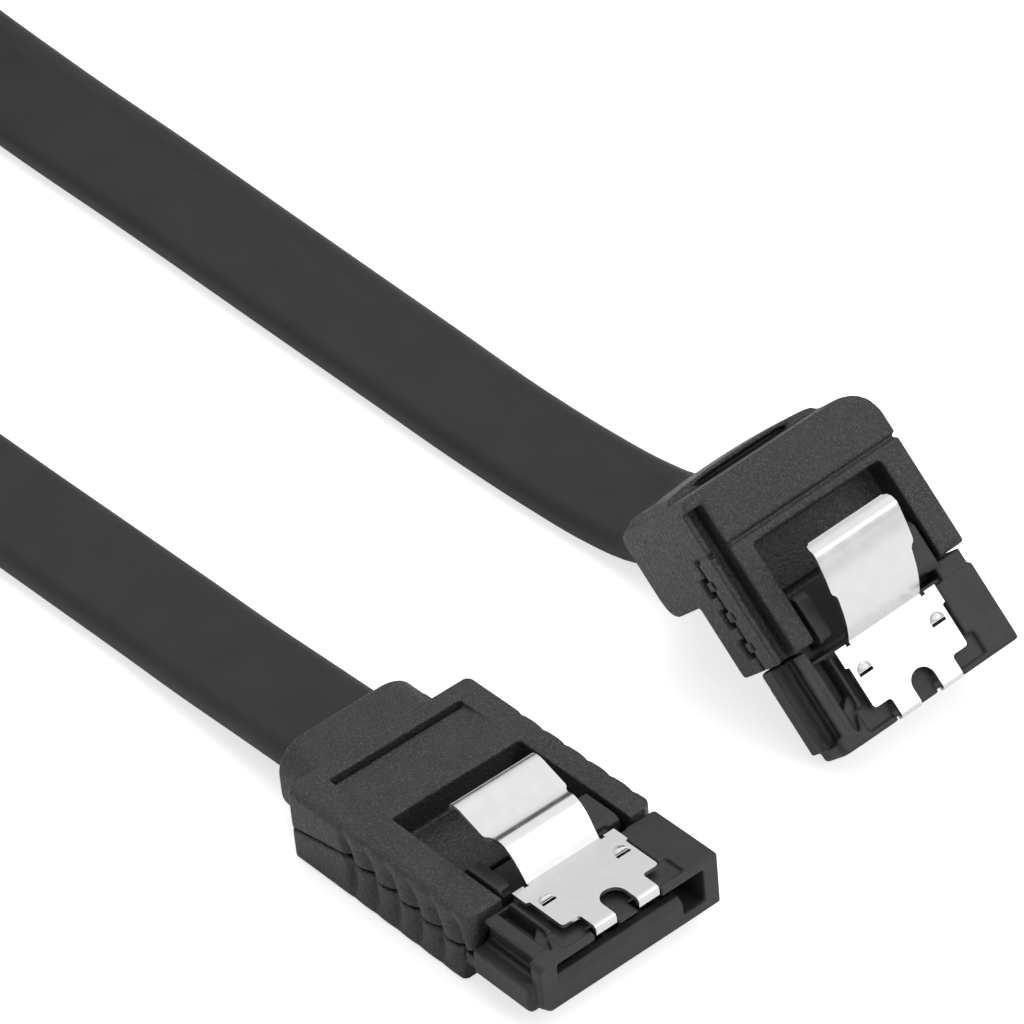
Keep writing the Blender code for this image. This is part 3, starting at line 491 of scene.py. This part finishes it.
NOSE_BACK = -5.2
for prefix, plug, reach in (("straight", STRAIGHT, -5.45), ("angle", ANGLE, -6.4)):
    node = f"{prefix}_housing"
    groove = upright_prism([(-5.4, -5.08), (-2.2, -5.08), (-2.9, -4.3), (-5.4, -4.3)], 3.85, 6.0)
    groove_floor = block((-5.6, -5.4, 3.3), (-1.9, -4.2, 4.6))
    back_wall = block((-5.6, -5.45, 3.2), (-5.08, 5.7, 4.6))
    ledge_root = block((reach, -6.95, 1.45), (NOSE_BACK, -5.9, 3.15))
    channel = block((reach - 0.2, -7.4, 3.3), (-0.78, -5.64, 4.6))
    rail_line = block((-5.3, -5.68, 4.68), (-0.9, -5.54, 6.0))
    root = block((-6.45, -6.75, 1.45), (NOSE_BACK, 6.55, 2.3))
    left_root = block((reach, -6.0, 1.5), (NOSE_BACK, -5.15, 4.8))
    right_root = block((reach, 4.6, 1.5), (NOSE_BACK, 6.6, 4.9))
    housing = moulding(
        f"{prefix}_insert",
        [node],
        plug,
        voxel=0.082,
        rounds=2,
        fillers=(root, left_root, right_root, ledge_root, groove_floor, back_wall),
        cuts=(groove, channel, rail_line),
    )
    dress(housing, nylon, "nose_plastic", "cable", node)

# Contacts: seven gold-plated bronze leaves in each slot, sprung down into channels of their own.
gold, tree, shader = finish("plated_contact_gold", (0.83, 0.62, 0.26), 0.25, 1.0)
place = tree.nodes.new("ShaderNodeTexCoord").outputs["Object"]
wear = noise(tree, place, 2500.0, 4.0)
golds = tint(tree, spread(tree, wear, 0.0, 1.0), (0.76, 0.54, 0.2), (0.88, 0.68, 0.32))
tree.links.new(golds, shader.inputs["Base Color"])
tree.links.new(spread(tree, wear, 0.2, 0.38), shader.inputs["Roughness"])
for prefix in ("straight", "angle"):
    for number in range(1, 8):
        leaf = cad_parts[f"{prefix}_contact_{number}"]
        leaf.data.materials.clear()
        leaf.data.materials.append(gold)

# Latches: one strip of bright spring steel on each plug, stamped and bent. Its plate is held in the
# bed by two punched barbs and two fingers, and its tab is pressed to let the plug go.
GAUGE = 0.25
PLATE_TOP = 5.37
BARB_X = -3.57
BLANK_HALF_WIDTH = 5.0


def bent_line(rise):
    """The strip's upper line from finger tip to tab, as (x, z): a quarter circle at the tip, the level
    plate, then a smooth curve through the given (x, height above the plate) points."""
    bend = 1.2 * GAUGE
    sweep = np.radians(np.linspace(0.0, 90.0, 7))
    front = np.stack([-bend + bend * np.cos(sweep), PLATE_TOP - bend + bend * np.sin(sweep)], axis=1)
    ramp = [(x, PLATE_TOP + height, 0.0, 0.0) for x, height in rise]
    curve = smooth_route(ramp, 0.1)[:, :2]
    return np.vstack([[(0.0, PLATE_TOP - 0.62)], front, curve])


def sheet_solid(line, half):
    """A bent strip: rings of two rows of points along its line, a gauge apart, so wide each way."""
    steps = np.diff(line, axis=0)
    steps /= np.linalg.norm(steps, axis=1)[:, None]
    heading = np.vstack([steps[:1], steps[:-1] + steps[1:], steps[-1:]])
    heading /= np.linalg.norm(heading, axis=1)[:, None]
    inner = line + GAUGE * np.stack([-heading[:, 1], heading[:, 0]], axis=1)
    columns = 25
    across = np.linspace(-half, half, columns)
    rings = np.zeros((len(line), 2 * columns, 3))
    rings[:, :columns, 0] = line[:, 0, None]
    rings[:, :columns, 2] = line[:, 1, None]
    rings[:, columns:, 0] = inner[:, 0, None]
    rings[:, columns:, 2] = inner[:, 1, None]
    rings[:, :, 1] = np.concatenate([across, across[::-1]])
    return skin("strip", rings)


def stamping():
    """Half of the latch's outline from above, from the notch back to the tab, and its mirror."""
    sweep = np.radians(np.linspace(180.0, 90.0, 10))
    notch = np.stack([-1.1 + 0.84 * np.cos(sweep), 0.84 * np.sin(sweep)], axis=1)
    half = np.array(
        [
            *notch,
            (0.5, 0.84),
            (0.5, 2.35),
            (-1.2, 2.35),
            (-1.34, 2.41),
            (-1.4, 2.55),
            (-1.4, 3.38),
            (-1.46, 3.52),
            (-1.6, 3.58),
            (-4.18, 3.58),
            (-4.28, 3.81),
            (-5.46, 3.81),
            (-5.46, 3.0),
            (-5.27, 3.0),
            (-5.27, 2.7),
            (-8.1, 2.8),
            (-8.3, 2.9),
            (-8.42, 3.04),
            (-8.6, 3.1),
            (-11.4, 3.1),
            (-11.62, 3.02),
            (-11.7, 2.8),
            (-12.1, 2.7),
        ]
    )
    outline = np.vstack([half, half[:0:-1] * (1.0, -1.0)])
    rings = np.zeros((2, len(outline), 3))
    rings[:, :, :2] = outline
    rings[:, :, 2] = ((2.0,), (12.0,))
    return skin("stamping", rings)


def boolean(target, mesh, operation):
    """Joins, cuts or keeps with a mesh, and leaves the result in the target."""
    tool = bpy.data.objects.new("tool", mesh)
    bpy.context.scene.collection.objects.link(tool)
    step = target.modifiers.new("step", "BOOLEAN")
    step.operation = operation
    step.object = tool
    graph = bpy.context.evaluated_depsgraph_get()
    result = bpy.data.meshes.new_from_object(target.evaluated_get(graph))
    target.modifiers.clear()
    target.data = result
    bpy.data.objects.remove(tool)


def barb(side):
    """A half dome of the plate, pushed up: its rim is a half circle, and it opens to the mouth."""
    around = np.radians(np.linspace(90.0, 270.0, 15))
    rise = np.radians(np.linspace(0.0, 84.0, 7))
    radius = 0.55 * np.cos(rise)[:, None]
    rings = np.zeros((7, 15, 3))
    rings[:, :, 0] = BARB_X + radius * np.cos(around) - 0.1 * np.sin(rise)[:, None]
    rings[:, :, 1] = side + radius * np.sin(around)
    rings[:, :, 2] = PLATE_TOP - 0.12 + 0.42 * np.sin(rise)[:, None]
    return skin("barb", rings)


steel, tree, shader = finish("bright_spring_steel", (0.8, 0.8, 0.81), 0.24, 1.0)
rolled = tree.nodes.new("ShaderNodeUVMap")
rolled.uv_map = "rolling"
drawn = tree.nodes.new("ShaderNodeMapping")
drawn.inputs["Scale"].default_value = (0.08, 1.0, 1.0)
tree.links.new(rolled.outputs[0], drawn.inputs["Vector"])
lines = noise(tree, drawn.outputs[0], 26.0, 3.0)
cloud = noise(tree, rolled.outputs[0], 1.1, 3.0)
greys = tint(tree, spread(tree, cloud, 0.0, 1.0), (0.78, 0.78, 0.79), (0.83, 0.83, 0.84))
tree.links.new(greys, shader.inputs["Base Color"])
tree.links.new(spread(tree, cloud, 0.2, 0.26), shader.inputs["Roughness"])
tree.links.new(relief(tree, lines, 0.000004, 0.6), shader.inputs["Normal"])

# The strip behind the plate, as (x, height above the plate): a ramp, a step, the tab and its lip.
low_rise = [
    (-5.47, 0.0),
    (-5.85, 0.55),
    (-6.3, 1.15),
    (-6.75, 1.57),
    (-7.15, 1.82),
    (-7.5, 1.92),
    (-8.05, 1.84),
    (-8.5, 1.88),
    (-9.2, 2.12),
    (-10.0, 2.42),
    (-10.7, 2.66),
    (-11.25, 2.62),
    (-11.75, 2.0),
]
high_rise = [
    (-5.47, 0.0),
    (-5.85, 0.5),
    (-6.35, 1.05),
    (-7.0, 1.62),
    (-7.7, 2.08),
    (-8.5, 2.54),
    (-9.3, 2.92),
    (-10.1, 3.22),
    (-10.7, 3.42),
    (-11.0, 3.47),
    (-11.3, 3.32),
    (-11.75, 2.86),
]
for prefix, plug, rise in (("straight", STRAIGHT, low_rise), ("angle", ANGLE, high_rise)):
    blank = sheet_solid(bent_line(rise), BLANK_HALF_WIDTH)
    latch = bpy.data.objects.new(f"{prefix}_spring", blank)
    bpy.context.scene.collection.objects.link(latch)
    boolean(latch, stamping(), "INTERSECT")
    for barb_side in (-2.78, 2.78):
        slit = block((BARB_X, barb_side - 0.5, 4.9), (BARB_X + 0.21, barb_side + 0.5, 6.0))
        boolean(latch, slit, "DIFFERENCE")
        boolean(latch, barb(barb_side), "UNION")
    latch.data.shade_smooth()
    edges = latch.modifiers.new("edges", "BEVEL")
    edges.width = 0.045
    edges.segments = 2
    edges.limit_method = "ANGLE"
    edges.angle_limit = math.radians(40.0)
    evened = latch.modifiers.new("evened", "WEIGHTED_NORMAL")
    evened.weight = 100
    evened.keep_sharp = True
    graph = bpy.context.evaluated_depsgraph_get()
    pressed = bpy.data.meshes.new_from_object(latch.evaluated_get(graph))
    latch.modifiers.clear()
    points = np.empty(len(pressed.vertices) * 3, np.float32)
    pressed.vertices.foreach_get("co", points)
    corner = np.empty(len(pressed.loops), np.int32)
    pressed.loops.foreach_get("vertex_index", corner)
    flat = points.reshape(-1, 3)[corner][:, :2]
    pressed.uv_layers.new(name="rolling").data.foreach_set("uv", flat.ravel())
    pressed.transform(plug @ TO_METRES)
    latch.data = pressed
    dress(latch, steel, "spring_steel", f"{prefix}_latch", f"{prefix}_latch")

# Straight hood: two shells of black plastic with a spark-eroded skin, clipped round the insert. The
# upper one has grip ribs, a window for the latch, a sunken panel and the collar on the lead.
HOOD_BACK = -21.9
UPPER_FRONT = -5.6
LOWER_FRONT = -6.6
HOOD_TOP = 5.3
HOOD_HALF_WIDTH = 7.0
RIBS_BACK = -17.05
RIB_PITCH = 1.95
RIB_COUNT = 6
SEAM_TOP = 2.9
SEAM_HALF_GAP = 0.07
sparked, tree, shader = finish("spark_textured_black", (0.03, 0.03, 0.031), 0.6)
shader.inputs["Specular IOR Level"].default_value = 0.5
place = tree.nodes.new("ShaderNodeTexCoord").outputs["Object"]
pits = noise(tree, place, 4200.0, 2.0, 0.6)
# Painted glints: small light grey specks mixed into the base colour stand in for the sparkle of the
# eroded skin.
painted_glint_noise = noise(tree, place, 9500.0, 1.0, 0.5)
patches = noise(tree, place, 500.0, 3.0)
blacks = tint(tree, spread(tree, patches, 0.0, 1.0), (0.022, 0.022, 0.023), (0.032, 0.032, 0.033))
painted_glints = tree.nodes.new("ShaderNodeMix")
painted_glints.data_type = "RGBA"
painted_glints.inputs[7].default_value = (0.08, 0.08, 0.082, 1.0)
tree.links.new(spread(tree, painted_glint_noise, 0.0, 1.0, (0.54, 0.7)), painted_glints.inputs[0])
tree.links.new(blacks, painted_glints.inputs[6])
tree.links.new(painted_glints.outputs[2], shader.inputs["Base Color"])
tree.links.new(spread(tree, pits, 0.38, 0.62), shader.inputs["Roughness"])
tree.links.new(relief(tree, pits, 0.0001, 1.0), shader.inputs["Normal"])


def parting_height(x):
    """Middle height of the line where the two shells meet. It is straight from the mouth up to the
    last rib and straight from there down to the back, less a sine squared at each rib."""
    ribs = 0.09 * np.sin(np.pi * (x - RIBS_BACK) / RIB_PITCH) ** 2
    ribs = ribs * ((x > RIBS_BACK) & (x < LOWER_FRONT))
    return np.interp(x, (HOOD_BACK, RIBS_BACK, LOWER_FRONT), (2.2, 3.15, 2.5)) - ribs


def rib_depth(x, z):
    """How far the side sinks between the grip ribs: one less a power of the sine of the place in the
    pitch, which makes sharp valleys, narrower under the seam and leaning back over it. They are
    shallower near the top and bottom edges, and stop at both ends of the row."""
    phase = (x - RIBS_BACK - 0.3 * (HOOD_TOP - np.maximum(z, SEAM_TOP))) / RIB_PITCH
    valley = 1.0 - np.abs(np.sin(np.pi * phase)) ** np.where(z < SEAM_TOP, 0.4, 0.6)
    row = np.clip(phase / 0.25 + 1.0, 0.0, 1.0) * (phase < RIB_COUNT)
    fade = np.interp(z, (0.3, 1.5, 3.9, 4.7, 5.3), (0.1, 1.0, 1.0, 0.35, 0.2))
    return np.where(z < SEAM_TOP, 0.75, 0.62) * valley * row * fade


def shell_rings(x, low, high, left_round, right_round, low_round):
    """Cross-sections of a shell along X: two sides that follow the ribs, and rounded edges.
    A side's rows run from the low height to the high one, drawn in by quarter circles."""
    rows = np.linspace(0.0, 1.0, 25)
    rings = []
    for side, top_round in ((1.0, right_round), (-1.0, left_round)):
        z = low[:, None] + (high - low)[:, None] * rows
        over = np.clip((z - (high[:, None] - top_round)) / top_round, 0.0, 1.0)
        under = np.clip(((low[:, None] + low_round) - z) / low_round, 0.0, 1.0)
        inset = top_round * (1.0 - np.sqrt(1.0 - over**2))
        inset = inset + low_round * (1.0 - np.sqrt(1.0 - under**2))
        inset = np.minimum(inset, 0.95 * top_round + low_round)
        back = 0.24 * np.clip((HOOD_BACK + 0.3 - x) / 0.3, 0.0, 1.0)
        front = 0.6 * np.clip((x - UPPER_FRONT + 0.6) / 0.6, 0.0, 1.0) ** 1.5
        half = HOOD_HALF_WIDTH - (back + front)[:, None] - rib_depth(x[:, None], z) - inset
        y = side * half
        rings.append(np.stack([np.broadcast_to(x[:, None], z.shape), y, z], axis=-1))
    return np.concatenate([rings[0], rings[1][:, ::-1]], axis=1)


def shell(name, rings, node, fillers, cuts):
    """A hood shell from its rings, with blocks joined on and openings cut."""
    solids = (skin(name, rings), *fillers)
    made = moulding(name, [], STRAIGHT, voxel=0.093, rounds=2, fillers=solids, cuts=cuts)
    dress(made, sparked, "hood_plastic", "cable", node)


x = np.linspace(HOOD_BACK, UPPER_FRONT, 164)
seam = parting_height(x) + SEAM_HALF_GAP
upper_rings = shell_rings(
    x, seam, np.full_like(x, HOOD_TOP), left_round=0.55, right_round=0.25, low_round=0.06
)
COLLAR_HALF_WIDTH = 5.15
COLLAR_HALF_HEIGHT = 2.55
COLLAR_ROUND = 1.9
collar_x = np.array((-25.15, -25.0, -24.75, -22.0, -21.5))
collar_in = np.array((0.6, 0.25, 0.0, 0.0, 0.0))
middle_yz = np.array((-0.2, 2.72))
sweep = np.radians(np.linspace(0.0, 90.0, 9))
corners = []
for y_side, z_side in ((1, 1), (-1, 1), (-1, -1), (1, -1)):
    turned = sweep if y_side * z_side > 0 else sweep[::-1]
    out = y_side * (COLLAR_HALF_WIDTH - COLLAR_ROUND + COLLAR_ROUND * np.cos(turned))
    up = z_side * (COLLAR_HALF_HEIGHT - COLLAR_ROUND + COLLAR_ROUND * np.sin(turned))
    corners.append(middle_yz + np.stack([out, up], axis=1))
ring = np.vstack(corners)
shrink = 1.0 - collar_in / 5.0
collar_rings = np.zeros((5, len(ring), 3))
collar_rings[:, :, 0] = collar_x[:, None]
collar_rings[:, :, 1:] = middle_yz + (ring - middle_yz) * shrink[:, None, None]
LEAD_ROOM = 0.12
LEAD_HEIGHT = 2.48
mouth = flat_section(LEAD_HALF_WIDTH + LEAD_ROOM, LEAD_HALF_THICKNESS + LEAD_ROOM, 9, 3)
mouth_rings = np.zeros((2, len(mouth), 3))
mouth_rings[:, :, 0] = ((-26.5,), (-23.4,))
mouth_rings[:, :, 1] = mouth[:, 0]
mouth_rings[:, :, 2] = LEAD_HEIGHT + mouth[:, 1]
OVER_TOP = 8.0
PANEL_LEFT = -4.75
PANEL_RIGHT = 5.1
window = block((-15.3, -4.4, 3.3), (0.0, 5.2, OVER_TOP))
cavity = block((-9.9, -5.8, 1.6), (0.0, 5.8, 3.6))
slope = np.array([(-20.45, 4.97), (-16.2, HOOD_TOP), (-16.2, OVER_TOP), (-20.45, OVER_TOP)])
panel_rings = np.zeros((2, 4, 3))
panel_rings[:, :, (0, 2)] = slope
panel_rings[:, :, 1] = ((PANEL_LEFT,), (PANEL_RIGHT,))
panel = skin("panel", panel_rings)
panel_line = block((-20.54, PANEL_LEFT, 4.5), (-20.26, PANEL_RIGHT, OVER_TOP))
neck = block((-22.9, -4.4, 2.8), (-20.9, 4.4, 4.9))
shell(
    "straight_upper_shell",
    upper_rings,
    "straight_hood_upper",
    (skin("collar", collar_rings), neck),
    (window, cavity, panel, panel_line, skin("mouth", mouth_rings)),
)
x = np.linspace(HOOD_BACK, LOWER_FRONT, 154)
seam = parting_height(x) - SEAM_HALF_GAP
lower_rings = shell_rings(
    x, np.zeros_like(x), seam, left_round=0.06, right_round=0.06, low_round=0.3
)
shell("straight_lower_shell", lower_rings, "straight_hood_lower", (), (cavity.copy(),))

# Right-angle hood: a body that turns the lead down through a short spout, and a cover over the
# insert that clips into the body's sides. Same plastic, with softer edges. A thin rim stands
# behind the body on a foot, bowed out like a flattened arch.
RIM_LEFT = -6.5
RIM_RIGHT = 4.7
RIM_THICKNESS = 0.3
bow = np.linspace(RIM_LEFT, RIM_RIGHT, 27)
arch = -17.64 - 0.42 * np.clip(1.0 - (np.abs(bow + 0.9) / 5.6) ** 2, 0.0, 1.0) ** 0.6
inner = np.stack([arch, bow], axis=1)
rear_rim = upright_prism(np.vstack([inner, inner[::-1] - (RIM_THICKNESS, 0.0)]), -1.4, 2.4)
foot_outline = np.vstack([inner, [(-17.3, RIM_RIGHT), (-17.3, RIM_LEFT)]])
rim_foot = upright_prism(foot_outline, -1.5, 1.75)
seam_filler = block((-14.5, -5.75, 2.6), (-13.6, 6.8, 5.0))
side_filler = block((-14.5, -6.8, 2.6), (-13.6, -5.7, 4.25))
window_floor = block((-13.9, -6.5, 1.9), (-6.7, 6.5, 2.8))
fillers = (seam_filler, side_filler, window_floor, rear_rim, rim_foot)
channel = block((-16.9, -6.62, 3.8), (-6.0, -5.85, OVER_TOP))
holes = [block((x - 0.3, -7.5, 2.5), (x + 0.3, -6.35, 3.05)) for x in (-8.15, -10.25, -12.35)]
nodes = ["angle_hood_body", "angle_hood_cover"]
hood = moulding(
    "angle_shell", nodes, ANGLE, voxel=0.107, rounds=2, fillers=fillers, cuts=(channel, *holes)
)
dress(hood, sparked, "hood_plastic", "cable", "angle_hood_body", "angle_hood_cover")

shown_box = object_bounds()
both = {"cad": [list(corner) for corner in solid_box], "model": [list(corner) for corner in shown_box]}
